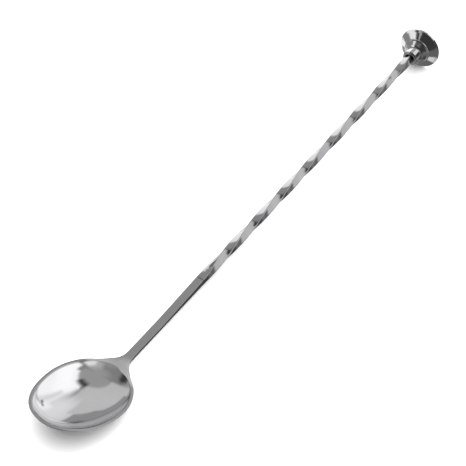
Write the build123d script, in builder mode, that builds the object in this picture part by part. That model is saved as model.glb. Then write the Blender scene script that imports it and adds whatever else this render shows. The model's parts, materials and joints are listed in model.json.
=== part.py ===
"""Bar spoon with a twisted stem and a turned muddler disc, lying bowl up on a flat surface.

Every piece is set out along the straight line of the stem. On that line x grows from the bowl to
the muddler and is 0 at the outer edge of the disc's rim, y runs across, and z is the side that
the bowl opens on. The line is tipped by rest_lean, so that the disc's edge and the bowl's heel
both touch the surface, and the origin is under the middle of the spoon.
"""

from build123d import *
import math
import os

# The spoon as it lies, millimetres and degrees.
rest_lean = 1.71
stem_zero = 140.11  # from the middle of the spoon to the outer edge of the disc's rim

# Muddler disc: radii, and distances from the outer edge of the rim towards the bowl.
disc_radius = 9.55
face_overhang = 0.45
rim_width = 0.95
bevel_radius = 8.65
bevel_end = 1.45
ridge_radius = 5.65
ridge_end = 3.5
shoulder_radius = 4.1
shoulder_end = 5.2
collar_radius = 3.5
collar_start = 5.7
collar_end = 10.0
collar_chamfer = 0.3
mouth_radius = 2.75
mouth_depth = 1.4
bore_radius = 1.2
bore_end = 2.4

# Ferrule: the ring in the collar's mouth, through which the square bar passes.
ferrule_bore = 2.25
ferrule_proud = 0.35

# Twisted stem: a square bar with softened corners, and a round spigot in the disc's bore.
bar = 3.3
bar_corner = 0.35
quarter_pitch = 19.9
twist_start = 179.0
spigot_clearance = 0.02
spigot_end_gap = 0.3

# Shank and neck: the bar drawn down to a strip, which widens into the bowl.
taper_end = 205.0
strip_top = 0.15
strip_corner = 0.3
neck_start = 224.5
neck_reach = 238.4
neck_fillet = 13.0
neck_bottom = 1.4
neck_blank_top = 6.0
above_rim = 40.0
past_tip = 10.0

# Bowl: an egg-shaped rim, and walls that are thinner at the rim than at the bottom.
bowl_position = 255.3
bowl_lift = 6.3
bowl_pitch = 16.1
rim_tip = 26.9
rim_neck = 21.7
rim_half_width = 16.5
rim_wall = 1.25
rim_sheer = 2.0  # rise of the rim's two ends above its middle
outer_depth = 7.3
bottom_wall = 1.4
crown = 6.0  # height of the egg's centre above the rim's middle

lean = math.radians(rest_lean)
tilt = math.radians(rest_lean - bowl_pitch)
pitch = math.radians(bowl_pitch)
disc_height = disc_radius * math.cos(lean) + rim_width * math.sin(lean)
stem_frame = Plane(
    origin=(stem_zero, 0, disc_height),
    x_dir=(math.cos(lean), 0, math.sin(lean)),
    z_dir=(-math.sin(lean), 0, math.cos(lean)),
)
bowl_frame = Plane(
    origin=stem_frame.from_local_coords((-bowl_position, 0, bowl_lift)),
    x_dir=(math.cos(tilt), 0, math.sin(tilt)),
    z_dir=(-math.sin(tilt), 0, math.cos(tilt)),
)
stem_side = Plane(origin=stem_frame.origin, x_dir=stem_frame.x_dir, z_dir=(0, -1, 0))


def across(distance):
    """The plane square to the stem at a distance from the rim towards the bowl."""
    return Plane(
        origin=stem_frame.from_local_coords((-distance, 0, 0)),
        x_dir=(0, 1, 0),
        z_dir=stem_frame.x_dir,
    )


def egg(tip, neck, half_width, depth):
    """An egg of two half ellipsoids that meet on their widest section, above the bowl's rim."""
    halves = []
    for length, turn in ((neck, -90), (tip, 90)):
        half = Sphere(1, arc_size3=180, rotation=(0, 0, turn), align=None, mode=Mode.PRIVATE)
        halves.append(scale(half, by=(length, half_width, depth)))
    return bowl_frame.offset(crown).location * (halves[0] + halves[1])


def on_stem(x, z):
    """A point of the bowl's side view, on the stem's line."""
    return (
        x * math.cos(pitch) + z * math.sin(pitch) - bowl_position,
        z * math.cos(pitch) - x * math.sin(pitch) + bowl_lift,
    )


def spread(height, depth):
    """How wide the egg is at a height above the rim's middle, as a share of its full width."""
    return math.sqrt(1 - ((crown - height) / depth) ** 2)


# Muddler disc: one turned profile, with the mouth and the blind bore cut in it.
with BuildPart() as muddler_disc:
    with BuildSketch(stem_side):
        with BuildLine():
            Polyline(
                (face_overhang, 0),
                (face_overhang, disc_radius - face_overhang),
                (0, disc_radius),
                (-rim_width, disc_radius),
                (-bevel_end, bevel_radius),
                (-ridge_end, ridge_radius),
                (-shoulder_end, shoulder_radius),
                (-collar_start, collar_radius),
                (-collar_end + collar_chamfer, collar_radius),
                (-collar_end, collar_radius - collar_chamfer),
                (-collar_end, mouth_radius),
                (-collar_end + mouth_depth, mouth_radius),
                (-collar_end + mouth_depth, bore_radius),
                (-bore_end, bore_radius),
                (-bore_end, 0),
                close=True,
            )
        make_face()
    revolve(axis=Axis(stem_frame.origin, stem_frame.x_dir))
muddler_disc.part.label = "muddler_disc"

# Ferrule: a ring with a rounded lip, pressed into the collar's mouth.
ferrule_length = mouth_depth + ferrule_proud
with BuildPart() as stem_ferrule:
    with BuildSketch(across(collar_end + ferrule_proud)):
        Circle(mouth_radius)
        Circle(ferrule_bore, mode=Mode.SUBTRACT)
    extrude(amount=ferrule_length)
    lip = stem_ferrule.edges().filter_by(GeomType.CIRCLE).group_by(Axis.X)[0].sort_by(SortBy.RADIUS)
    fillet(lip[-1], radius=ferrule_proud * 0.8)
stem_ferrule.part.label = "stem_ferrule"

# Twisted stem: the square bar turns left-handed, a quarter turn to each quarter_pitch.
shoulder = collar_end - mouth_depth
twist_length = twist_start - shoulder
twist_angle = -90 * twist_length / quarter_pitch
with BuildSketch(across(twist_start), mode=Mode.PRIVATE) as bar_section:
    RectangleRounded(bar, bar, bar_corner)
twisted_bar = Solid.extrude_linear_with_rotation(
    bar_section.sketch.face(),
    center=across(twist_start).origin,
    normal=stem_frame.x_dir * twist_length,
    angle=twist_angle,
)
with BuildPart() as twisted_stem:
    add(twisted_bar)
    with BuildSketch(across(shoulder)):
        Circle(bore_radius - spigot_clearance)
    extrude(amount=shoulder - bore_end - spigot_end_gap)
twisted_stem.part.label = "twisted_stem"

# Bowl: an egg inside an egg.
outer_egg = egg(
    rim_tip / spread(rim_sheer, crown + outer_depth),
    rim_neck / spread(rim_sheer, crown + outer_depth),
    rim_half_width / spread(0, crown + outer_depth),
    crown + outer_depth,
)
inner_depth = outer_depth - bottom_wall
inner_egg = egg(
    (rim_tip - rim_wall) / spread(rim_sheer, crown + inner_depth),
    (rim_neck - rim_wall) / spread(rim_sheer, crown + inner_depth),
    (rim_half_width - rim_wall) / spread(0, crown + inner_depth),
    crown + inner_depth,
)

# The rim's side view: one arc over the bowl, then a curve down the neck to the strip's top.
rim_left = on_stem(-rim_tip, rim_sheer)
rim_middle = on_stem(0, 0)
rim_right = on_stem(rim_neck, rim_sheer)
rim_slope = pitch - rim_sheer / rim_neck - rim_sheer / rim_tip

# The neck's plan: the strip's sides leave it in two arcs that run into the egg's outline.
rim_reach = bowl_position + rim_right[0]
end_radius = rim_half_width**2 / rim_reach
arc_across = bar / 2 + neck_fillet
arc_along = math.sqrt((end_radius + neck_fillet) ** 2 - arc_across**2)
arc_share = end_radius / (end_radius + neck_fillet)
arc_start = bowl_position - rim_reach + end_radius - arc_along
arc_end = bowl_position - rim_reach + end_radius - arc_along * arc_share
neck_half_width = arc_across * arc_share

# Shank: the bar drawn down to a strip, with softened edges.
with BuildPart() as shank:
    with BuildSketch(stem_side):
        with BuildLine():
            Polyline(
                (-neck_start, strip_top),
                (-taper_end, strip_top),
                (-twist_start, bar / 2),
                (-twist_start, -bar / 2),
                (-neck_start, -bar / 2),
                close=True,
            )
        make_face()
    extrude(amount=bar / 2, both=True)
    fillet(shank.edges().filter_by(lambda edge: edge.length > 2 * bar), radius=strip_corner)

# Neck: a blank of the right plan and underside, left high to be cut along the rim.
with BuildPart() as neck:
    with BuildSketch(stem_side):
        with BuildLine():
            Polyline(
                (-neck_start, strip_top),
                (-neck_start, -bar / 2),
                (-neck_reach, neck_bottom),
                (-neck_reach, neck_blank_top),
                (-neck_start - bar, neck_blank_top),
                close=True,
            )
        make_face()
    extrude(amount=rim_half_width, both=True)
    with BuildSketch(stem_frame):
        with BuildLine():
            Polyline(
                (-arc_start, bar / 2),
                (-neck_start, bar / 2),
                (-neck_start, -bar / 2),
                (-arc_start, -bar / 2),
            )
            RadiusArc((-arc_start, -bar / 2), (-arc_end, -neck_half_width), -neck_fillet)
            Polyline(
                (-arc_end, -neck_half_width),
                (-neck_reach, -neck_half_width),
                (-neck_reach, neck_half_width),
                (-arc_end, neck_half_width),
            )
            RadiusArc((-arc_end, neck_half_width), (-arc_start, bar / 2), -neck_fillet)
        make_face()
    extrude(amount=rim_half_width, both=True, mode=Mode.INTERSECT)

# Bowl, neck and shank are one solid, with all that is over the rim's side view cut off.
with BuildPart() as spoon_bowl:
    add(neck.part)
    add(shank.part)
    add(outer_egg)
    add(inner_egg, mode=Mode.SUBTRACT)
    with BuildSketch(stem_side):
        with BuildLine():
            ThreePointArc(rim_left, rim_middle, rim_right)
            Spline(
                rim_right,
                (-neck_start, strip_top),
                tangents=((1, -math.tan(rim_slope)), (1, 0)),
            )
            Polyline(
                (-neck_start, strip_top),
                (-neck_start, above_rim),
                (rim_left[0] - past_tip, above_rim),
                (rim_left[0] - past_tip, rim_left[1]),
                rim_left,
            )
        make_face()
    extrude(amount=2 * rim_half_width, both=True, mode=Mode.SUBTRACT)
spoon_bowl.part.label = "spoon_bowl"

os.makedirs("parts", exist_ok=True)
for piece in (spoon_bowl, twisted_stem, stem_ferrule, muddler_disc):
    export_step(piece.part, f"parts/{piece.part.label}.step")
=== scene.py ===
"""Looks for a mirror-polished bar spoon that lies bowl up on a pale studio floor.

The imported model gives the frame. Every visible piece is rebuilt here as a smooth closed mesh at
the size of the CAD piece that it stands for: the bowl with its neck and shank, the twisted stem,
the ferrule and the muddler disc. Sizes are in millimetres along the line of the stem, on which x
grows from the bowl to the muddler and is 0 at the outer edge of the disc's rim, y runs across and
z is the side that the bowl opens on. Blender's own units are metres.
"""

import json
import logging
import math
from dataclasses import dataclass, field
from enum import Enum

import bmesh
import bpy
from mathutils import Matrix, Vector


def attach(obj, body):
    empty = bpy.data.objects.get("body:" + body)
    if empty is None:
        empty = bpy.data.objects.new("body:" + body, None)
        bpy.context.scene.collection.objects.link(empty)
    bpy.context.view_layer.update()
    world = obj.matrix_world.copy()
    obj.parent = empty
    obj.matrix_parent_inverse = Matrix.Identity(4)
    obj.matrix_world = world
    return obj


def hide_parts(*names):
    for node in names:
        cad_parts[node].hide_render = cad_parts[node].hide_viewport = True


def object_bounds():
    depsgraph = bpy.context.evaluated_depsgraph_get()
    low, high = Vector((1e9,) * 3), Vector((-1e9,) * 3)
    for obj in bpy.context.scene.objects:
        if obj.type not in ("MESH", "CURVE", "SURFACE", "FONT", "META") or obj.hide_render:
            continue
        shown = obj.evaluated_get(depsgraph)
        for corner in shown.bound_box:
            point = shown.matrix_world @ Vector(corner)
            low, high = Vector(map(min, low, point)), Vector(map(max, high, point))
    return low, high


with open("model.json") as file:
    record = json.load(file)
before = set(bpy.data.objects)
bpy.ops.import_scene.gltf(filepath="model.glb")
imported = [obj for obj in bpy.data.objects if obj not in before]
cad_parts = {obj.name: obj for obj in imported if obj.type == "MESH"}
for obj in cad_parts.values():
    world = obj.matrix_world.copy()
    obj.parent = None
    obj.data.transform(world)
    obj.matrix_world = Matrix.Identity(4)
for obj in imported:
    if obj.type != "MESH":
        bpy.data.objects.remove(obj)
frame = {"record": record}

LOG = logging.getLogger("bar_spoon")
MM = 0.001
BODY = "root"
CAD_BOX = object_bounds()

Point = tuple[float, float, float]
Profile = list[tuple[float, float]]
Tone = tuple[float, float, float]
NEARLY_STRAIGHT = math.radians(89)


# ---------------------------------------------------------------- the line that everything is set out on


@dataclass(frozen=True)
class StemLine:
    """The straight line of the stem, as three directions and an origin in the row frame."""

    origin: Vector
    along: Vector
    across: Vector
    up: Vector

    @classmethod
    def from_record(cls, record: dict, overhang: float) -> "StemLine":
        """Finds the line from the muddling face, which is square to it.

        Args:
            record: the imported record.
            overhang: how far the face stands out past the rim's outer edge, in millimetres.

        Returns:
            The line, with its origin at the rim's outer edge.
        """
        face = next(mount for mount in record["mounts"] if mount["name"] == "muddling_face")
        along = Vector(face["axis"]).normalized()
        across = Vector((0.0, 1.0, 0.0))
        origin = Vector(face["pos_m"]) - along * (overhang * MM)
        return cls(origin, along, across, along.cross(across))

    def place(self, point: Point) -> Vector:
        """A point of the stem's millimetres, as a place in the row frame in metres."""
        x, y, z = point
        return self.origin + (self.along * x + self.across * y + self.up * z) * MM

    def matrix(self) -> Matrix:
        """The rotation from the stem's directions to the row frame's."""
        return Matrix((self.along, self.across, self.up)).transposed()


# ---------------------------------------------------------------- meshes


def soften(corners: Profile, radii: list[float], steps: int = 5) -> Profile:
    """Rounds the corners of an open outline with arcs.

    Args:
        corners: the outline's corners, in order.
        radii: one radius for each corner, 0 to leave it sharp; the ends are always left.
        steps: how many pieces each arc has.

    Returns:
        The outline's points, with each rounded corner as an arc.
    """
    points: Profile = [corners[0]]
    for before, corner, after, radius in zip(corners, corners[1:], corners[2:], radii[1:]):
        here = Vector(corner)
        back, ahead = Vector(before) - here, Vector(after) - here
        half = back.angle(ahead) / 2
        if radius <= 0 or half > NEARLY_STRAIGHT:
            points.append(corner)
            continue
        reach = min(radius / math.tan(half), back.length / 2, ahead.length / 2)
        start, end = here + back.normalized() * reach, here + ahead.normalized() * reach
        for step in range(steps + 1):
            share = step / steps
            mixed = start * (1 - share) ** 2 + here * (2 * share * (1 - share)) + end * share**2
            points.append((mixed.x, mixed.y))
    points.append(corners[-1])
    return points


@dataclass
class MeshBuilder:
    """Collects points and faces on the stem's line and turns them into one closed mesh."""

    line: StemLine
    points: list[Vector] = field(default_factory=list)
    faces: list[tuple[int, ...]] = field(default_factory=list)
    creases: list[tuple[int, int]] = field(default_factory=list)

    def add(self, point: Point) -> int:
        """Adds a point, in the stem's millimetres, and gives its number."""
        self.points.append(self.line.place(point))
        return len(self.points) - 1

    def loop(self, ring: list[Point]) -> list[int]:
        """Adds a ring of points and gives their numbers."""
        return [self.add(point) for point in ring]

    def bridge(self, first: list[int], second: list[int], closed: bool = True) -> None:
        """Joins two rings of the same length with four-sided faces.

        Args:
            first: the numbers of one ring's points.
            second: the numbers of the other's.
            closed: True to join the last point to the first as well.
        """
        count = len(first)
        for here in range(count if closed else count - 1):
            after = (here + 1) % count
            self.faces.append((first[here], first[after], second[after], second[here]))

    def cap(self, ring: list[int], centre: Point) -> None:
        """Closes a ring with a fan of triangles.

        Args:
            ring: the numbers of the ring's points.
            centre: the middle of the fan.
        """
        middle = self.add(centre)
        for here, after in zip(ring, ring[1:] + ring[:1]):
            self.faces.append((here, after, middle))

    def build(self, name: str, levels: int = 0) -> bpy.types.Object:
        """Makes the object, smooth-shaded, with its faces turned outwards.

        Args:
            name: the piece's name.
            levels: how many times the surface is subdivided.

        Returns:
            The new object, linked to the scene.
        """
        shell = bmesh.new()
        made = [shell.verts.new(point) for point in self.points]
        for face in self.faces:
            shell.faces.new([made[number] for number in face])
        crease = shell.edges.layers.float.new("crease_edge")
        shell.edges.ensure_lookup_table()
        for first, second in self.creases:
            edge = shell.edges.get((made[first], made[second]))
            if edge is not None:
                edge[crease] = 1.0
        bmesh.ops.recalc_face_normals(shell, faces=shell.faces)
        for face in shell.faces:
            face.smooth = True
        mesh = bpy.data.meshes.new(name)
        shell.to_mesh(mesh)
        shell.free()
        piece = bpy.data.objects.new(name, mesh)
        bpy.context.scene.collection.objects.link(piece)
        if levels:
            smoothing = piece.modifiers.new("smoothing", "SUBSURF")
            smoothing.levels = levels
            smoothing.render_levels = levels
        return piece


def turned(line: StemLine, name: str, profile: Profile, segments: int) -> bpy.types.Object:
    """A lathe-turned piece on the stem's line.

    Args:
        line: the stem's line.
        name: the piece's name.
        profile: distances along the line and radii, in order; a radius of 0 is on the line, and
            a profile that doesn't start on it is a ring.
        segments: how many faces go round.

    Returns:
        The piece.
    """
    builder = MeshBuilder(line)
    angles = [2 * math.pi * step / segments for step in range(segments)]
    on_line = profile[0][1] == 0
    inner = profile[1:-1] if on_line else profile
    rings = [
        builder.loop([(x, radius * math.cos(a), radius * math.sin(a)) for a in angles])
        for x, radius in inner
    ]
    for first, second in zip(rings, rings[1:]):
        builder.bridge(first, second)
    if on_line:
        builder.cap(rings[0], (profile[0][0], 0.0, 0.0))
        builder.cap(rings[-1], (profile[-1][0], 0.0, 0.0))
    else:
        builder.bridge(rings[-1], rings[0])
    return builder.build(name)


def flat_sheet(name: str, middle: Vector, side: Vector, rise: Vector) -> bpy.types.Object:
    """A flat four-cornered sheet for the studio.

    Args:
        name: the sheet's name.
        middle: its middle, in metres.
        side: from its middle to the middle of one side.
        rise: from its middle to the middle of its upper edge.

    Returns:
        The sheet, linked to the scene.
    """
    corners = (middle - side - rise, middle + side - rise, middle + side + rise, middle - side + rise)
    shell = bmesh.new()
    shell.faces.new([shell.verts.new(corner) for corner in corners])
    mesh = bpy.data.meshes.new(name)
    shell.to_mesh(mesh)
    shell.free()
    sheet = bpy.data.objects.new(name, mesh)
    bpy.context.scene.collection.objects.link(sheet)
    return sheet


# ---------------------------------------------------------------- shader maths


class Field:
    """A number that changes over a surface: one socket, and the arithmetic used on it."""

    def __init__(self, kit: "NodeKit", socket: bpy.types.NodeSocket) -> None:
        self.kit = kit
        self.socket = socket

    def _maths(self, operation: str, *values: "Field | float", clamp: bool = False) -> "Field":
        """One Math node on the values, in order."""
        sockets = dict(enumerate(values))
        return self.kit.field("ShaderNodeMath", {"operation": operation, "use_clamp": clamp}, sockets)

    def __add__(self, other: "Field | float") -> "Field":
        """This field plus another."""
        return self._maths("ADD", self, other)

    def __radd__(self, other: float) -> "Field":
        """A number plus this field."""
        return self._maths("ADD", other, self)

    def __sub__(self, other: "Field | float") -> "Field":
        """This field less another."""
        return self._maths("SUBTRACT", self, other)

    def __rsub__(self, other: float) -> "Field":
        """A number less this field."""
        return self._maths("SUBTRACT", other, self)

    def __mul__(self, other: "Field | float") -> "Field":
        """This field times another."""
        return self._maths("MULTIPLY", self, other)

    def __rmul__(self, other: float) -> "Field":
        """A number times this field."""
        return self._maths("MULTIPLY", other, self)

    def __pow__(self, power: float) -> "Field":
        """This field to a power."""
        return self._maths("POWER", self, power)

    def clamped(self) -> "Field":
        """This field held between 0 and 1."""
        return self._maths("ADD", self, 0.0, clamp=True)


class NodeKit:
    """Makes and links the nodes of one material or world."""

    def __init__(self, tree: bpy.types.NodeTree) -> None:
        """Starts on an empty tree."""
        self.tree = tree
        tree.nodes.clear()

    def node(
        self, kind: str, settings: dict | None = None, inputs: dict | None = None
    ) -> bpy.types.Node:
        """Makes a node.

        Args:
            kind: Blender's name for the node type.
            settings: properties such as an operation, which are set first.
            inputs: socket names or numbers, with values, sockets or fields.

        Returns:
            The node.
        """
        made = self.tree.nodes.new(kind)
        for name, value in (settings or {}).items():
            setattr(made, name, value)
        for name, value in (inputs or {}).items():
            self.feed(made.inputs[name], value)
        return made

    def feed(self, socket: bpy.types.NodeSocket, value: object) -> None:
        """Links a field or socket to a socket, or sets the socket's own value.

        Args:
            socket: the input to feed.
            value: a field, a socket, or a value to set.
        """
        if isinstance(value, Field):
            value = value.socket
        if isinstance(value, bpy.types.NodeSocket):
            self.tree.links.new(value, socket)
        else:
            socket.default_value = value

    def field(self, kind: str, settings: dict | None = None, inputs: dict | None = None) -> Field:
        """The first output of a new node, as a field."""
        return Field(self, self.node(kind, settings, inputs).outputs[0])

    def split(self, vector: bpy.types.NodeSocket) -> tuple[Field, Field, Field]:
        """A vector's three numbers, as fields."""
        parts = self.node("ShaderNodeSeparateXYZ", None, {"Vector": vector}).outputs
        return Field(self, parts[0]), Field(self, parts[1]), Field(self, parts[2])

    def smooth_step(self, value: Field, low: float, high: float, falling: bool = False) -> Field:
        """A smooth rise from 0 to 1, or a fall from 1 to 0.

        Args:
            value: the field that is followed.
            low: the value at which the change starts.
            high: the value at which it ends.
            falling: True for a fall.

        Returns:
            The share, from 0 to 1.
        """
        start, end = (1.0, 0.0) if falling else (0.0, 1.0)
        limits = {0: value, 1: low, 2: high, 3: start, 4: end}
        return self.field("ShaderNodeMapRange", {"interpolation_type": "SMOOTHSTEP"}, limits)

    def mixed(
        self, share: Field, under: bpy.types.NodeSocket | Tone, over: Tone
    ) -> bpy.types.NodeSocket:
        """Lays a tone over a colour.

        Args:
            share: how much of the tone shows, from 0 to 1.
            under: the colour below, as a socket or a tone.
            over: the tone on top.

        Returns:
            The mixed colour.
        """
        base = (*under, 1.0) if isinstance(under, tuple) else under
        mix = {0: share, 6: base, 7: (*over, 1.0)}
        return self.node("ShaderNodeMix", {"data_type": "RGBA"}, mix).outputs[2]


def dressed(name: str) -> tuple[bpy.types.Material, NodeKit]:
    """Starts a material.

    Args:
        name: the material's name.
    """
    made = bpy.data.materials.new(name)
    made.use_nodes = True
    return made, NodeKit(made.node_tree)


@dataclass(frozen=True)
class Direction:
    """How a finish's fine lines run: round the stem or along it, how close, and how stretched."""

    turned_about_stem: bool
    closeness: float
    stretch: float


class Lay(Enum):
    """The ways that the polishing lines run on the pieces."""

    ALONG = Direction(turned_about_stem=False, closeness=5.0, stretch=14.0)
    ROUND = Direction(turned_about_stem=True, closeness=9.0, stretch=1.0)


@dataclass(frozen=True)
class PolishedSteel:
    """Stainless steel with a mirror polish, its faint cloudiness and its polishing lines.

    A finish has the metal's light and dark tones, the mirror's roughness and how much the haze
    varies it, and the depth in millimetres of the ripple left by the buffing wheel and of the
    fine lines. The scales say how many clouds, ripples or specks there are to a millimetre.
    """

    name: str
    light: Tone
    dark: Tone
    roughness: float
    haze: float
    ripple_depth: float
    line_depth: float
    lay: Lay
    cloud_scale: float = 0.09
    cloud_contrast: float = 1.6
    ripple_scale: float = 0.22
    speck_scale: float = 2.4
    speck_level: float = 0.58
    speck_contrast: float = 3.0

    def material(self, line: StemLine) -> bpy.types.Material:
        """Builds the finish.

        Args:
            line: the stem's line, along or around which the polishing lines run.

        Returns:
            The material.
        """
        steel, kit = dressed(self.name)
        place = self._stem_place(kit, line)
        cloud = self._noise(kit, place, self.cloud_scale, 3.0)
        ripple = self._noise(kit, place, self.ripple_scale, 1.0)
        lines = self._lines(kit, place)
        speck = self._noise(kit, place, self.speck_scale, 4.0)
        share = cloud * self.cloud_contrast - (self.cloud_contrast - 1) / 2
        tone = kit.mixed(share, self.dark, self.light)
        cloudy = (cloud - 0.5) * self.haze + (lines - 0.5) * (self.haze * 0.5)
        smudge = ((speck - self.speck_level) * self.speck_contrast).clamped() * (self.haze * 0.4)
        height = ripple * self.ripple_depth + lines * self.line_depth
        bump = kit.node("ShaderNodeBump", None, {"Strength": 1.0, "Distance": MM, "Height": height})
        shader = kit.node(
            "ShaderNodeBsdfPrincipled",
            None,
            {
                "Base Color": self.colour(kit, place, tone),
                "Metallic": 1.0,
                "Roughness": (cloudy + smudge + self.roughness).clamped(),
                "Normal": bump.outputs["Normal"],
            },
        )
        kit.node("ShaderNodeOutputMaterial", None, {"Surface": shader.outputs["BSDF"]})
        return steel

    def colour(
        self, kit: NodeKit, place: bpy.types.NodeSocket, polished: bpy.types.NodeSocket
    ) -> bpy.types.NodeSocket:
        """The metal's colour all over the piece.

        Args:
            kit: the material's nodes.
            place: the place on the surface in the stem's millimetres.
            polished: the colour of the polished metal.

        Returns:
            The colour to use, which is the polished one unless a finish changes it.
        """
        return polished

    def _stem_place(self, kit: NodeKit, line: StemLine) -> bpy.types.NodeSocket:
        """Finds the place on the surface.

        Args:
            kit: the material's nodes.
            line: the stem's line.

        Returns:
            The place in the stem's millimetres.
        """
        turn = line.matrix().inverted()
        shift = turn @ line.origin
        coordinates = kit.node("ShaderNodeTexCoord")
        mapping = kit.node(
            "ShaderNodeMapping",
            {"vector_type": "POINT"},
            {
                "Vector": coordinates.outputs["Object"],
                "Location": tuple(-shift / MM),
                "Rotation": tuple(turn.to_euler()),
                "Scale": (1 / MM, 1 / MM, 1 / MM),
            },
        )
        return mapping.outputs["Vector"]

    @staticmethod
    def _noise(
        kit: NodeKit, place: bpy.types.NodeSocket, scale: float, detail: float, roughness: float = 0.5
    ) -> Field:
        """A noise of a given scale, around 0.5."""
        values = {"Vector": place, "Scale": scale, "Detail": detail, "Roughness": roughness}
        return kit.field("ShaderNodeTexNoise", None, values)

    def _lines(self, kit: NodeKit, place: bpy.types.NodeSocket) -> Field:
        """The fine polishing lines, along the stem or round it.

        Args:
            kit: the material's nodes.
            place: the place on the surface in the stem's millimetres.

        Returns:
            The lines' depth, from 0 to 1.
        """
        lay = self.lay.value
        x, y, z = kit.split(place)
        along = x * (lay.closeness / lay.stretch)
        if lay.turned_about_stem:
            radius = (y * y + z * z) ** 0.5
            parts = {0: along, 1: radius * lay.closeness}
        else:
            parts = {0: along, 1: y * lay.closeness, 2: z * lay.closeness}
        stretched = kit.node("ShaderNodeCombineXYZ", None, parts)
        return self._noise(kit, stretched.outputs[0], 1.0, 2.0, roughness=0.6)


@dataclass(frozen=True)
class BowlSteel(PolishedSteel):
    """The bowl's polish, with painted shade on the rim and on the shank.

    The rim's painted shade is a darker tone in place of the dark reflection along the rim. It
    starts rim_depth under the rim's flat, and fades out between neck_fade_from and neck_fade_to
    from the rim's neck end. The shank's painted shade carries on the stem's darkened tone, and
    comes in between two places on the stem.
    """

    # painted shade: a darker tone for the rim in place of its dark reflection, and the stem's darkened
    # tone for the shank
    rim_shade_tone: Tone = (0.36, 0.36, 0.365)
    shank_shade_tone: Tone = (0.36, 0.36, 0.365)
    rim_depth: float = 0.45
    rim_edge: float = 0.25
    neck_fade_from: float = 7.0
    neck_fade_to: float = 4.0
    shank_from: float = -240.0
    shank_to: float = -226.0

    def colour(
        self, kit: NodeKit, place: bpy.types.NodeSocket, polished: bpy.types.NodeSocket
    ) -> bpy.types.NodeSocket:
        """The polished colour, with the painted shade of the rim and the shank laid over it.

        Args:
            kit: the material's nodes.
            place: the place on the surface in the stem's millimetres.
            polished: the colour of the polished metal.

        Returns:
            The colour to use.
        """
        x, _, z = kit.split(place)
        cos, sin = math.cos(math.radians(SpoonBowl.pitch)), math.sin(math.radians(SpoonBowl.pitch))
        along, up = x + SpoonBowl.position, z - SpoonBowl.lift
        bowl_x, bowl_z = along * cos - up * sin, along * sin + up * cos
        tip, neck = SpoonBowl.rim_tip, SpoonBowl.rim_neck
        rise = bowl_x * (bowl_x + (tip - neck)) * (SpoonBowl.sheer / (tip * neck))
        on_rim = kit.smooth_step(bowl_z - rise, -self.rim_depth, self.rim_edge - self.rim_depth)
        fade_start, fade_end = neck - self.neck_fade_from, neck - self.neck_fade_to
        off_neck = kit.smooth_step(bowl_x, fade_start, fade_end, falling=True)
        # painted shade: the rim's darker tone laid over the polished colour
        rim_shaded = kit.mixed(on_rim * off_neck, polished, self.rim_shade_tone)
        on_shank = kit.smooth_step(x, self.shank_from, self.shank_to)
        # painted shade: the stem's darkened tone laid over the shank
        return kit.mixed(on_shank, rim_shaded, self.shank_shade_tone)


# ---------------------------------------------------------------- the spoon's pieces


@dataclass
class Piece:
    """A visible piece of the spoon: what it is called and which CAD node it stands for."""

    line: StemLine
    finish: PolishedSteel
    name: str = ""
    node: str = ""
    slot: str = ""

    def shape(self) -> bpy.types.Object:
        """Builds the piece's mesh."""
        raise NotImplementedError

    def make(self) -> bpy.types.Object:
        """Builds the piece, dresses it, and puts it in the frame in place of its CAD node.

        Returns:
            The piece.
        """
        piece = self.shape()
        piece.data.materials.append(self.finish.material(self.line))
        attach(piece, BODY)
        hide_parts(self.node)
        faces = len(piece.data.polygons)
        LOG.info("%s: %d control faces, in place of %s", self.name, faces, self.node)
        return piece


@dataclass
class MuddlerDisc(Piece):
    """The turned head: a rim band, a bevel, two cones and a collar, bored for the stem.

    The ridge_bead is the small raised bead between the two cones, as places from the ridge.
    """

    name: str = "muddler_head"
    node: str = "muddler_disc"
    slot: str = "disc_steel"
    face_overhang: float = 0.45
    disc_radius: float = 9.55
    rim_width: float = 0.95
    bevel_radius: float = 8.65
    bevel_end: float = 1.45
    ridge_radius: float = 5.65
    ridge_end: float = 3.5
    ridge_bead: tuple[tuple[float, float], ...] = ((0.3, 0.44), (-0.1, 0.4), (-0.3, -0.27))
    shoulder_radius: float = 4.1
    shoulder_end: float = 5.2
    collar_radius: float = 3.5
    collar_start: float = 5.7
    collar_end: float = 10.0
    collar_chamfer: float = 0.3
    mouth_radius: float = 2.75
    mouth_depth: float = 1.4
    bore_radius: float = 1.2
    bore_end: float = 2.4
    segments: int = 160

    def shape(self) -> bpy.types.Object:
        """Turns the head from its profile, with a small radius on each edge.

        Returns:
            The head.
        """
        mouth_floor = -self.collar_end + self.mouth_depth
        bead = [(-self.ridge_end + x, self.ridge_radius + radius) for x, radius in self.ridge_bead]
        edges = (
            ((self.face_overhang, 0.0), 0),
            ((self.face_overhang, self.disc_radius - self.face_overhang), 0.3),
            ((0.0, self.disc_radius), 0.25),
            ((-self.rim_width, self.disc_radius), 0.15),
            ((-self.bevel_end, self.bevel_radius), 0.3),
            (bead[0], 0.15),
            (bead[1], 0.3),
            (bead[2], 0.15),
            ((-self.shoulder_end, self.shoulder_radius), 0.2),
            ((-self.collar_start, self.collar_radius), 0.15),
            ((-self.collar_end + self.collar_chamfer, self.collar_radius), 0.12),
            ((-self.collar_end, self.collar_radius - self.collar_chamfer), 0.12),
            ((-self.collar_end, self.mouth_radius), 0.08),
            ((mouth_floor, self.mouth_radius), 0),
            ((mouth_floor, self.bore_radius), 0),
            ((-self.bore_end, self.bore_radius), 0),
            ((-self.bore_end, 0.0), 0),
        )
        profile = soften([corner for corner, _ in edges], [rounding for _, rounding in edges])
        return turned(self.line, self.name, profile, self.segments)


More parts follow.
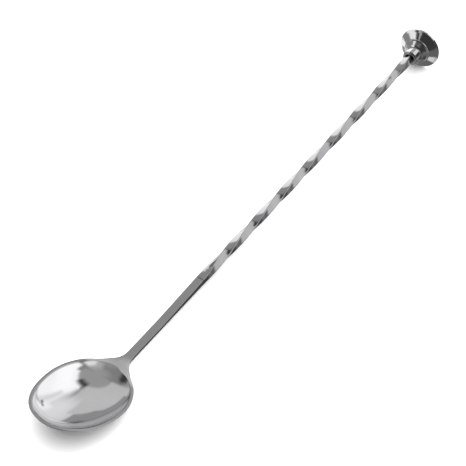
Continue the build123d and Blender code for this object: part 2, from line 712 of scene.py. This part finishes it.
@dataclass
class StemFerrule(Piece):
    """The ring in the collar's mouth, with a rounded lip."""

    name: str = "ferrule_ring"
    node: str = "stem_ferrule"
    slot: str = "ferrule_steel"
    outer_radius: float = MuddlerDisc.mouth_radius
    bore_radius: float = 2.25
    collar_end: float = MuddlerDisc.collar_end
    mouth_depth: float = MuddlerDisc.mouth_depth
    proud: float = 0.35
    lip_outside: float = 0.28
    lip_inside: float = 0.1
    segments: int = 96

    def shape(self) -> bpy.types.Object:
        """Turns the ring, seated on the mouth's floor.

        Returns:
            The ring.
        """
        inner, outer = -self.collar_end + self.mouth_depth, -self.collar_end - self.proud
        corners = [
            (inner, self.bore_radius),
            (inner, self.outer_radius),
            (outer, self.outer_radius),
            (outer, self.bore_radius),
            (inner, self.bore_radius),
        ]
        profile = soften(corners, [0, 0, self.lip_outside, self.lip_inside, 0])[:-1]
        return turned(self.line, self.name, profile, self.segments)


@dataclass
class TwistedStem(Piece):
    """The square bar, twisted left-handed, with the round spigot that sits in the head.

    The twist comes in over the length ease, and its rate makes up for that.
    """

    name: str = "twisted_bar"
    node: str = "twisted_stem"
    slot: str = "stem_steel"
    bar: float = 3.3
    corner: float = 0.35
    quarter_pitch: float = 19.9
    twist_start: float = 179.0
    shoulder: float = MuddlerDisc.collar_end - MuddlerDisc.mouth_depth
    spigot_radius: float = MuddlerDisc.bore_radius - 0.02
    spigot_end: float = MuddlerDisc.bore_end + 0.3
    ease: float = 5.0
    ring_step: float = 0.6
    corner_steps: int = 6
    flat_steps: int = 4

    def section(self) -> Profile:
        """The bar's square outline with round corners.

        Returns:
            The outline's points, from the middle of a side round.
        """
        half, corner, steps = self.bar / 2, self.corner, self.flat_steps
        flat = half - corner
        quarter: Profile = [(half, flat * step / steps) for step in range(steps)]
        for step in range(self.corner_steps + 1):
            angle = math.pi / 2 * step / self.corner_steps
            quarter.append((flat + corner * math.cos(angle), flat + corner * math.sin(angle)))
        quarter += [(flat * (1 - step / steps), half) for step in range(1, steps)]
        outline: Profile = []
        for turn in range(4):
            cos, sin = round(math.cos(turn * math.pi / 2)), round(math.sin(turn * math.pi / 2))
            outline += [(y * cos - z * sin, y * sin + z * cos) for y, z in quarter]
        return outline

    def turn_at(self, x: float) -> float:
        """How far the section has turned at a place on the stem.

        Args:
            x: the place in millimetres.

        Returns:
            The turn in radians, negative because the twist is left-handed.
        """
        run = x + self.twist_start
        eased = run - self.ease / 2 if run > self.ease else run * run / (2 * self.ease)
        whole = self.twist_start - self.shoulder
        rate = (whole / self.quarter_pitch) / (whole - self.ease / 2)
        return -math.pi / 2 * rate * eased

    def shape(self) -> bpy.types.Object:
        """Sweeps the turning section along the stem and adds the spigot.

        Returns:
            The bar.
        """
        builder = MeshBuilder(self.line)
        outline = self.section()
        length = self.twist_start - self.shoulder
        count = round(length / self.ring_step)
        rings = []
        for number in range(count + 1):
            x = -self.twist_start + length * number / count
            cos, sin = math.cos(self.turn_at(x)), math.sin(self.turn_at(x))
            rings.append(builder.loop([(x, y * cos - z * sin, y * sin + z * cos) for y, z in outline]))
        facing = math.atan2(outline[0][1], outline[0][0]) + self.turn_at(-self.shoulder)
        angles = [facing + math.atan2(z, y) for y, z in outline]
        for x in (-self.shoulder, -self.spigot_end):
            radius = self.spigot_radius
            rings.append(builder.loop([(x, radius * math.cos(a), radius * math.sin(a)) for a in angles]))
        for first, second in zip(rings, rings[1:]):
            builder.bridge(first, second)
        builder.cap(rings[0], (-self.twist_start, 0.0, 0.0))
        builder.cap(rings[-1], (-self.spigot_end, 0.0, 0.0))
        return builder.build(self.name)


@dataclass
class SpoonBowl(Piece):
    """The egg-shaped bowl, its neck and the shank, as one subdivided surface.

    The bowl's inside and outside are each a square patch at the bottom with rings round it. The
    neck is a tube of rings that grows out of the outside, between the rim's edge and a ring
    under it, and narrows to the shank. The shank has rings at distances from the neck's end, on
    both sides of the taper's end, and at distances from the twist's start.
    """

    name: str = "bowl_and_shank"
    node: str = "spoon_bowl"
    slot: str = "bowl_steel"
    position: float = 255.3
    lift: float = 6.3
    pitch: float = 16.1
    rim_tip: float = 26.9
    rim_neck: float = 21.7
    half_width: float = 16.5
    wall: float = 1.25
    sheer: float = 2.0
    outer_depth: float = 7.3
    bottom_wall: float = 1.4
    crown: float = 6.0
    bar: float = TwistedStem.bar
    twist_start: float = TwistedStem.twist_start
    taper_end: float = 205.0
    strip_top: float = 0.15
    neck_fillet: float = 13.0
    side_cells: int = 16
    patch_share: float = 0.42
    patch_roundness: float = 0.5
    inner_shares: tuple[float, ...] = (0.52, 0.62, 0.71, 0.79, 0.86, 0.91, 0.945, 0.97, 0.988)
    outer_shares: tuple[float, ...] = (
        0.985, 0.97, 0.955, 0.935, 0.912, 0.885, 0.84, 0.78, 0.7, 0.61, 0.52
    )
    rim_drop: float = 0.16
    rim_steps: tuple[float, ...] = (1.0, 0.82, 0.5, 0.18, 0.0)
    saddle_start: float = 0.9
    saddle_angle: float = 34.0
    neck_rows: int = 6
    neck_columns: int = 5
    corner_reach: float = 0.42
    under_slope: float = 0.1
    neck_steps: tuple[float, ...] = (0.14, 0.3, 0.48, 0.66, 0.83, 1.0)
    neck_end_rings: tuple[float, ...] = (3.5, 9.0)
    taper_ease: float = 2.0
    twist_end_rings: tuple[float, ...] = (18.0, 11.0, 5.0, 1.2, 0.3, 0.0)

    def spread(self, height: float, depth: float) -> float:
        """The egg's width at a height over the rim's middle, as a share of its full width."""
        return math.sqrt(1 - ((self.crown - height) / depth) ** 2)

    def egg_point(self, angle: float, share: float, inside: bool) -> Point:
        """A point of the bowl's inner or outer surface.

        Args:
            angle: the direction from the bowl's middle, 0 towards the neck.
            share: how far from the middle to the rim, from 0 to 1.
            inside: True for the inner surface.

        Returns:
            The point in the stem's millimetres.
        """
        wall = self.wall if inside else 0.0
        depth = self.crown + self.outer_depth - (self.bottom_wall if inside else 0.0)
        end = (self.rim_neck if math.cos(angle) > 0 else self.rim_tip) - wall
        long_axis = end / self.spread(self.sheer, depth)
        short_axis = (self.half_width - wall) / self.spread(0.0, depth)
        along = end * math.cos(angle)
        rise = self.sheer * along * (along + self.rim_tip - self.rim_neck) / (self.rim_tip * self.rim_neck)
        reach = share * self.spread(rise, depth)
        x = reach * long_axis * math.cos(angle)
        y = reach * short_axis * math.sin(angle)
        return self.tip_up(x, y, self.crown - depth * math.sqrt(1 - reach * reach))

    def tip_up(self, x: float, y: float, z: float) -> Point:
        """A point of the bowl's own frame, pitched up towards its tip, on the stem's line."""
        cos, sin = math.cos(math.radians(self.pitch)), math.sin(math.radians(self.pitch))
        return (x * cos + z * sin - self.position, y, z * cos - x * sin + self.lift)

    def side_angles(self) -> list[float]:
        """The directions of a square patch's points along one side, evenly turned."""
        cells = self.side_cells
        return [math.pi / 2 * (step / cells) - math.pi / 4 for step in range(cells + 1)]

    def patch(self, builder: MeshBuilder, inside: bool) -> list[int]:
        """Adds the square patch at the bowl's bottom.

        Args:
            builder: what the mesh is collected in.
            inside: True for the inner surface.

        Returns:
            The numbers of the patch's edge points, in order round it from the neck's side.
        """
        cells = self.side_cells
        steps = [math.tan(angle) for angle in self.side_angles()]
        grid: list[list[int]] = []
        for across in steps:
            row = []
            for along in steps:
                far = max(abs(along), abs(across))
                straight = math.hypot(along, across)
                circle = far / straight if straight else 0.0
                blend = (1 - self.patch_roundness) / math.sqrt(2) + self.patch_roundness * circle
                share = straight * blend * self.patch_share
                row.append(builder.add(self.egg_point(math.atan2(across, along), share, inside)))
            grid.append(row)
        for low, high in zip(grid, grid[1:]):
            builder.bridge(low, high, closed=False)
        edge = [grid[row][cells] for row in range(cells)]
        edge += [grid[cells][column] for column in range(cells, 0, -1)]
        edge += [grid[row][0] for row in range(cells, 0, -1)]
        edge += [grid[0][column] for column in range(cells)]
        half = cells // 2
        return edge[half:] + edge[:half]

    def ring_angles(self) -> list[float]:
        """The directions of a whole ring's points, from the neck round."""
        count = 4 * self.side_cells
        return [2 * math.pi * step / count for step in range(count)]

    def rim_point(self, angle: float, between: float) -> Point:
        """A point on the rim.

        Args:
            angle: the direction from the bowl's middle, 0 towards the neck.
            between: 0 at the rounded outer edge, and 1 at the inner edge.

        Returns:
            The point in the stem's millimetres.
        """
        outer = self.egg_point(angle, 1.0, False)
        inner = self.egg_point(angle, 1.0, True)
        x, y, z = (o + (i - o) * between for o, i in zip(outer, inner))
        return (x, y, z - self.rim_drop * (1 - between) ** 3)

    def lip_profile(self, angle: float) -> list[Point]:
        """The bowl's inside and its rim in one direction, from the patch to the outer edge.

        Beside the neck, the rim's crisp inner edge gives way to a rounded saddle, so that the
        inside runs over smoothly into the neck's top.

        Args:
            angle: the direction from the bowl's middle, 0 towards the neck.

        Returns:
            One point for each of the inner shares and the rim's steps.
        """
        crisp = [Vector(self.egg_point(angle, share, True)) for share in self.inner_shares]
        crisp += [Vector(self.rim_point(angle, between)) for between in self.rim_steps]
        away = abs(math.remainder(angle, 2 * math.pi)) / math.radians(self.saddle_angle)
        if away >= 1:
            return [tuple(point) for point in crisp]
        weight = math.cos(away * math.pi / 2) ** 2
        first = next(n for n, share in enumerate(self.inner_shares) if share > self.saddle_start)
        corner = crisp[len(self.inner_shares)]
        start, end, count = crisp[first], crisp[-1], len(crisp) - 1 - first
        for number in range(first, len(crisp)):
            share = (number - first) / count
            smooth = start * (1 - share) ** 2 + corner * (2 * share * (1 - share)) + end * share**2
            crisp[number] = crisp[number].lerp(smooth, weight)
        return [tuple(point) for point in crisp]

    def neck_section(self) -> list[tuple[float, float]]:
        """Where the shank's section has its points, as shares of its half width and its height.

        Returns:
            The points across the top, down one side, back under and up the other side, in step
            with the points of the hole that the neck grows out of.
        """
        half, height = self.bar / 2, self.strip_top + self.bar / 2
        columns, rows = self.neck_columns, self.neck_rows
        flat_half, flat_height = half - self.corner_reach, height - 2 * self.corner_reach
        side = [flat_half * step / (columns - 1) for step in range(1, columns)] + [half]
        wide = [-y for y in reversed(side)] + [0.0] + side
        down = [self.corner_reach + flat_height * step / (rows - 2) for step in range(rows - 1)]
        top = [(y / half, 0.0) for y in wide]
        right = [(1.0, z / height) for z in down]
        under = [(y / half, 1.0) for y in reversed(wide)]
        left = [(-1.0, z / height) for z in reversed(down)]
        return top + right + under + left

    def shape(self) -> bpy.types.Object:
        """Builds the bowl's two surfaces and the rim, and grows the neck and shank from them.

        Returns:
            The bowl.
        """
        builder = MeshBuilder(self.line)
        angles = self.ring_angles()
        rings = [self.patch(builder, inside=True)]
        profiles = [self.lip_profile(angle) for angle in angles]
        rings += [builder.loop(list(ring)) for ring in zip(*profiles)]
        edge = len(rings) - 1
        rings += [builder.loop([self.egg_point(a, s, False) for a in angles]) for s in self.outer_shares]
        rings.append(self.patch(builder, inside=False))
        count = len(angles)
        hole = self.neck_columns
        for number, (first, second) in enumerate(zip(rings, rings[1:])):
            in_hole = edge <= number < edge + self.neck_rows
            for here in range(count):
                after = (here + 1) % count
                if in_hole and (here < hole or here >= count - hole):
                    continue
                builder.faces.append((first[here], first[after], second[after], second[here]))
        self.grow_neck(builder, rings[edge : edge + self.neck_rows + 1])
        return builder.build(self.name, levels=2)

    def grow_neck(self, builder: MeshBuilder, rows: list[list[int]]) -> None:
        """Adds the neck and the shank to the hole in the bowl's outside.

        Args:
            builder: what the mesh is collected in.
            rows: the bowl's rings beside the hole, from the rim's edge down.
        """
        hole = self.neck_columns
        top = [rows[0][column] for column in range(-hole, hole + 1)]
        right = [row[hole] for row in rows[1:-1]]
        under = [rows[-1][column] for column in range(hole, -hole - 1, -1)]
        left = [row[-hole] for row in reversed(rows[1:-1])]
        ring = top + right + under + left
        starts = [self.on_line(builder.points[number]) for number in ring]
        section = self.neck_section()
        neck_end = self.neck_arc_start()
        ends = [self.shank_point(-neck_end, a, b) for a, b in section]
        start_ways = [self.start_way(start, a, b) for start, (a, b) in zip(starts, section)]
        sections = [
            [tuple(self.curve(p, way, q, share)) for p, way, q in zip(starts, start_ways, ends)]
            for share in self.neck_steps
        ]
        places = [neck_end - distance for distance in self.neck_end_rings]
        places += [self.taper_end + shift for shift in (self.taper_ease, 0.0, -self.taper_ease)]
        places += [self.twist_start + distance for distance in self.twist_end_rings]
        sections += [[self.shank_point(-place, a, b) for a, b in section] for place in places]
        for outline in sections:
            after = builder.loop(outline)
            builder.bridge(ring, after)
            ring = after
        self.close_shank(builder, ring)

    def close_shank(self, builder: MeshBuilder, ring: list[int]) -> None:
        """Closes the shank's end with a grid of faces that stays flat and keeps its edge.

        Args:
            builder: what the mesh is collected in.
            ring: the numbers of the shank's last ring.
        """
        wide, tall = 2 * self.neck_columns + 1, self.neck_rows + 1
        top = ring[:wide]
        right = ring[wide : wide + tall - 2]
        under = list(reversed(ring[wide + tall - 2 : 2 * wide + tall - 2]))
        left = list(reversed(ring[2 * wide + tall - 2 :]))
        grid = [top]
        for left_end, right_end in zip(left, right):
            fall = (builder.points[left_end] - builder.points[top[0]]).length
            inner = []
            for upper, lower in zip(top[1:-1], under[1:-1]):
                high, low = builder.points[upper], builder.points[lower]
                builder.points.append(high.lerp(low, fall / (high - low).length))
                inner.append(len(builder.points) - 1)
            grid.append([left_end, *inner, right_end])
        grid.append(under)
        for high_row, low_row in zip(grid, grid[1:]):
            builder.bridge(high_row, low_row, closed=False)
        builder.creases += list(zip(ring, ring[1:] + ring[:1]))

    def on_line(self, place: Vector) -> Vector:
        """A place in the row frame as the stem's millimetres."""
        return self.line.matrix().inverted() @ (place - self.line.origin) / MM

    def neck_side_reach(self) -> float:
        """How far the rim reaches from the bowl's middle towards the neck, along the stem."""
        pitch = math.radians(self.pitch)
        return self.rim_neck * math.cos(pitch) + self.sheer * math.sin(pitch)

    def neck_arc_start(self) -> float:
        """Where the shank's sides turn into the neck's arcs.

        Returns:
            The distance from the outer edge of the disc's rim.
        """
        reach = self.neck_side_reach()
        end_radius = self.half_width**2 / reach
        arc_across = self.bar / 2 + self.neck_fillet
        arc_along = math.sqrt((end_radius + self.neck_fillet) ** 2 - arc_across**2)
        return self.position - reach + end_radius - arc_along

    def shank_point(self, x: float, across: float, down: float) -> Point:
        """A point of the shank's section.

        Args:
            x: where the section is on the stem.
            across: how far across it is, from -1 to 1.
            down: how far down, from 0 to 1.

        Returns:
            The point in the stem's millimetres.
        """
        run = (self.taper_end + x) / (self.taper_end - self.twist_start)
        taper = min(1.0, max(0.0, run))
        top = self.strip_top + (self.bar / 2 - self.strip_top) * taper
        return (x, across * self.bar / 2, top + (-self.bar / 2 - top) * down)

    def start_way(self, start: Vector, across: float, down: float) -> Vector:
        """The direction in which the neck leaves the bowl at a point of the hole's edge.

        Args:
            start: the point in the stem's millimetres.
            across: how far across the neck it is, from -1 to 1.
            down: how far down, from 0 to 1.

        Returns:
            The direction, along the rim at the neck's sides and along the stem in its middle.
        """
        rim_slope = math.radians(self.pitch) - self.sheer / self.rim_neck - self.sheer / self.rim_tip
        lean_x = (start.x + self.position) / self.neck_side_reach() ** 2
        lean_y = start.y / self.half_width**2
        along_rim = Vector((abs(lean_y), -math.copysign(lean_x, start.y or 1.0))).normalized()
        flat = Vector((1.0, 0.0)).lerp(along_rim, across * across).normalized()
        slope = -math.tan(rim_slope) * (1 - down) - self.under_slope * down
        return Vector((flat.x, flat.y, slope * flat.x))

    @staticmethod
    def curve(start: Vector, way: Vector, end: Point, share: float) -> Vector:
        """A point on the smooth curve from the bowl to the shank.

        Args:
            start: where the curve leaves the bowl.
            way: its direction there.
            end: where it meets the shank, running along the stem.
            share: how far along it, from 0 to 1.

        Returns:
            The point in the stem's millimetres.
        """
        goal = Vector(end)
        reach = (goal - start).length
        first, last = way * reach, Vector((1.0, 0.0, 0.0)) * reach
        square, cube = share * share, share**3
        return (
            start * (2 * cube - 3 * square + 1)
            + first * (cube - 2 * square + share)
            + goal * (3 * square - 2 * cube)
            + last * (cube - square)
        )


# ---------------------------------------------------------------- studio


@dataclass(frozen=True)
class Patch:
    """A soft-edged patch of the surroundings that the steel reflects, in degrees.

    Azimuth 0 is towards -Y and 90 is towards +X. A perfect mirror shows a radiance of 1 as white.
    """

    name: str
    azimuth: float
    elevation: float
    half_width: float
    half_height: float
    edge: float
    radiance: float

    def over(self, kit: NodeKit, azimuth: Field, elevation: Field, under: Field) -> Field:
        """Lays the patch over what is already there.

        Args:
            kit: the world's nodes.
            azimuth: the direction's azimuth in degrees.
            elevation: the direction's elevation in degrees.
            under: the radiance under the patch.

        Returns:
            The radiance with the patch.
        """
        limits = {0: azimuth - self.azimuth, 1: 180.0, 2: -180.0}
        offset = kit.field("ShaderNodeMath", {"operation": "WRAP"}, limits)
        wide = self._within(kit, offset, self.half_width)
        high = self._within(kit, elevation - self.elevation, self.half_height)
        return under + (self.radiance - under) * wide * high

    def _within(self, kit: NodeKit, offset: Field, half: float) -> Field:
        """1 inside the patch's half size and 0 outside it, with a soft edge."""
        distance = kit.field("ShaderNodeMath", {"operation": "ABSOLUTE"}, {0: offset})
        return kit.smooth_step(distance, half - self.edge / 2, half + self.edge / 2, falling=True)


@dataclass(frozen=True)
class ReflectorCard:
    """A card beside the spoon that only its reflections show."""

    name: str
    centre: Point
    azimuth: float
    width: float
    height: float
    radiance: float

    def stand(self) -> bpy.types.Object:
        """Stands the card up, facing back along its azimuth.

        Returns:
            The card.
        """
        turn = math.radians(self.azimuth)
        side = Vector((math.cos(turn), math.sin(turn), 0.0)) * (self.width / 2)
        rise = Vector((0.0, 0.0, self.height / 2))
        card = flat_sheet(self.name, Vector(self.centre), side, rise)
        paper, kit = dressed(self.name)
        glow = kit.node("ShaderNodeEmission", None, {"Strength": self.radiance})
        kit.node("ShaderNodeOutputMaterial", None, {"Surface": glow.outputs[0]})
        card.data.materials.append(paper)
        card.visible_camera = False
        card.visible_diffuse = False
        card.visible_shadow = False
        return card


@dataclass(frozen=True)
class Viewpoint:
    """The camera: where it stands, how it is rolled, and its lens."""

    position: Point
    forward: Point
    upward: Point
    lens: float
    sensor: float = 36.0
    clip_end: float = 20.0

    def make(self) -> bpy.types.Object:
        """Makes the camera and gives it to the scene.

        Returns:
            The camera.
        """
        data = bpy.data.cameras.new("camera")
        data.lens = self.lens
        data.sensor_width = self.sensor
        data.clip_end = self.clip_end
        camera = bpy.data.objects.new("camera", data)
        back = -Vector(self.forward).normalized()
        right = Vector(self.upward).cross(back).normalized()
        turn = Matrix((right, back.cross(right), back)).transposed()
        camera.matrix_world = Matrix.Translation(Vector(self.position) * MM) @ turn.to_4x4()
        bpy.context.scene.collection.objects.link(camera)
        bpy.context.scene.camera = camera
        return camera


@dataclass
class Studio:
    """The pale floor, the lights, the surroundings and the camera."""

    aim: Vector
    camera: Viewpoint
    patches: tuple[Patch, ...]
    cards: tuple[ReflectorCard, ...]
    floor_size: float = 6.0
    floor_tone: Tone = (0.9, 0.9, 0.9)
    floor_roughness: float = 0.6
    base_radiance: float = 0.42
    lamp_size: float = 2.6
    lamp_height: float = 1.4
    lamp_power: float = 60.0

    def build_floor(self) -> None:
        """Lays the pale floor that the spoon lies on."""
        half = self.floor_size / 2
        floor = flat_sheet("floor", Vector(), Vector((half, 0.0, 0.0)), Vector((0.0, half, 0.0)))
        pale, kit = dressed("floor_paper")
        finish = {"Base Color": (*self.floor_tone, 1.0), "Roughness": self.floor_roughness}
        shader = kit.node("ShaderNodeBsdfPrincipled", None, finish)
        kit.node("ShaderNodeOutputMaterial", None, {"Surface": shader.outputs["BSDF"]})
        floor.data.materials.append(pale)
        floor.visible_glossy = False

    def build_surroundings(self) -> None:
        """Paints what the steel reflects: pale tent walls, with dark gaps between them."""
        world = bpy.data.worlds.new("studio")
        world.use_nodes = True
        bpy.context.scene.world = world
        kit = NodeKit(world.node_tree)
        x, y, z = kit.split(kit.node("ShaderNodeTexCoord").outputs["Generated"])
        turn = kit.field("ShaderNodeMath", {"operation": "ARCTAN2"}, {0: x, 1: y * -1.0})
        rise = kit.field("ShaderNodeMath", {"operation": "ARCSINE"}, {0: z})
        azimuth, elevation = turn * math.degrees(1.0), rise * math.degrees(1.0)
        radiance = z * 0.0 + self.base_radiance
        for patch in self.patches:
            radiance = patch.over(kit, azimuth, elevation, radiance)
        light = {"Color": (1.0, 1.0, 1.0, 1.0), "Strength": radiance}
        background = kit.node("ShaderNodeBackground", None, light)
        kit.node("ShaderNodeOutputWorld", None, {"Surface": background.outputs["Background"]})

    def hang_lamp(self) -> None:
        """Hangs a wide lamp overhead, which lights the floor and isn't seen in the steel."""
        lamp = bpy.data.lights.new("overhead", "AREA")
        lamp.shape = "DISK"
        lamp.size = self.lamp_size
        lamp.energy = self.lamp_power
        light = bpy.data.objects.new("overhead", lamp)
        light.location = self.aim + Vector((0.0, 0.0, self.lamp_height))
        light.visible_glossy = False
        bpy.context.scene.collection.objects.link(light)

    def build(self) -> None:
        """Builds the floor, the surroundings, the lamp and the camera."""
        self.build_floor()
        self.build_surroundings()
        self.hang_lamp()
        for card in self.cards:
            card.stand()
        self.camera.make()
        bpy.context.scene.view_settings.view_transform = "Standard"


CAMERA = Viewpoint(
    position=(-479.97, -227.86, 528.61),
    forward=(0.63543, 0.31247, -0.70611),
    upward=(0.55169, 0.45610, 0.69829),
    lens=143.0,
)

TENT = (
    Patch("far_dome", -90.0, 65.0, 98.0, 32.0, 14.0, 0.3),
    Patch("dome_by_window", -42.0, 66.0, 34.0, 22.0, 36.0, 0.6),
    Patch("zenith", 0.0, 90.0, 180.0, 19.0, 30.0, 0.42),
    Patch("front_dome", 134.0, 32.0, 40.0, 27.0, 7.0, 0.68),
    Patch("front_low", 112.0, -8.0, 14.0, 20.0, 10.0, 0.72),
    Patch("wall_glow", 96.0, 0.0, 14.0, 32.0, 24.0, 0.98),
    Patch("left_wall", 44.0, 22.0, 43.0, 35.0, 6.0, 1.3),
    Patch("wall_upper", 44.0, 34.0, 36.0, 14.0, 14.0, 1.4),
    Patch("wall_corner_gap", 8.0, 55.0, 17.0, 5.0, 7.0, 0.3),
    Patch("wall_foot", 42.0, -16.0, 40.0, 8.0, 10.0, 0.35),
    Patch("wall_seam", 81.0, 6.0, 3.5, 24.0, 7.0, 0.95),
    Patch("seam_line", 90.0, -2.0, 4.5, 13.0, 6.0, 1.2),
    Patch("wall_top_gap", 79.0, 59.0, 17.0, 5.0, 9.0, 0.06),
    Patch("window_glint", -26.0, 51.0, 17.0, 10.0, 14.0, 1.05),
    Patch("door_gap", -168.0, 33.0, 10.0, 12.0, 14.0, 0.06),
    Patch("near_gap", -78.0, 16.0, 49.0, 31.0, 12.0, 0.07),
    Patch("near_card", -141.0, 12.0, 11.0, 26.0, 6.0, 1.6),
    Patch("near_card_foot", -175.0, -46.0, 22.0, 13.0, 8.0, 1.7),
    Patch("near_floor", -30.0, -28.0, 46.0, 15.0, 10.0, 0.22),
    Patch("low_gap", 30.0, -52.0, 56.0, 15.0, 10.0, 0.1),
    Patch("underside", 0.0, -80.0, 180.0, 14.0, 8.0, 0.22),
    Patch("near_low", -37.0, -56.0, 10.0, 12.0, 6.0, 1.2),
    Patch("right_strip", 137.0, 0.0, 15.0, 35.0, 8.0, 2.1),
    Patch("right_foot", 134.0, -25.0, 18.0, 9.0, 5.0, 1.2),
)

CARDS = (
    ReflectorCard("bowl_low_card", (-0.023, 0.084, 0.0), 140.0, 0.09, 0.076, 0.35),
    ReflectorCard("bowl_high_card", (-0.035, 0.084, 0.07), 136.0, 0.12, 0.07, 0.68),
    ReflectorCard("head_flag", (0.15, -0.018, 0.017), 48.0, 0.018, 0.018, 0.06),
)

BOWL_STEEL = BowlSteel(
    "bowl_steel", (0.72, 0.72, 0.73), (0.66, 0.66, 0.67), 0.1, 0.03, 0.004, 0.0004, Lay.ALONG
)
# painted shade: the stem's steel has darker tones than the bowl's, so that the same bright surroundings
# show dimmer in it
STEM_STEEL = PolishedSteel(
    "stem_steel", (0.36, 0.36, 0.365), (0.3, 0.3, 0.305), 0.12, 0.04, 0.003, 0.0006, Lay.ALONG
)
FERRULE_STEEL = PolishedSteel(
    "ferrule_steel", (0.5, 0.5, 0.505), (0.42, 0.42, 0.425), 0.16, 0.05, 0.001, 0.0008, Lay.ROUND
)
DISC_STEEL = PolishedSteel(
    "disc_steel", (0.52, 0.52, 0.525), (0.46, 0.46, 0.465), 0.1, 0.04, 0.001, 0.0008, Lay.ROUND
)


def main() -> None:
    """Builds the spoon's pieces and the studio."""
    logging.basicConfig(level=logging.INFO, format="%(name)s: %(message)s")
    line = StemLine.from_record(frame["record"], MuddlerDisc.face_overhang)
    for piece in (
        SpoonBowl(line, BOWL_STEEL),
        TwistedStem(line, STEM_STEEL),
        StemFerrule(line, FERRULE_STEEL),
        MuddlerDisc(line, DISC_STEEL),
    ):
        piece.make()
    low, high = CAD_BOX
    Studio(aim=(low + high) / 2, camera=CAMERA, patches=TENT, cards=CARDS).build()


if __name__ == "__main__":
    main()
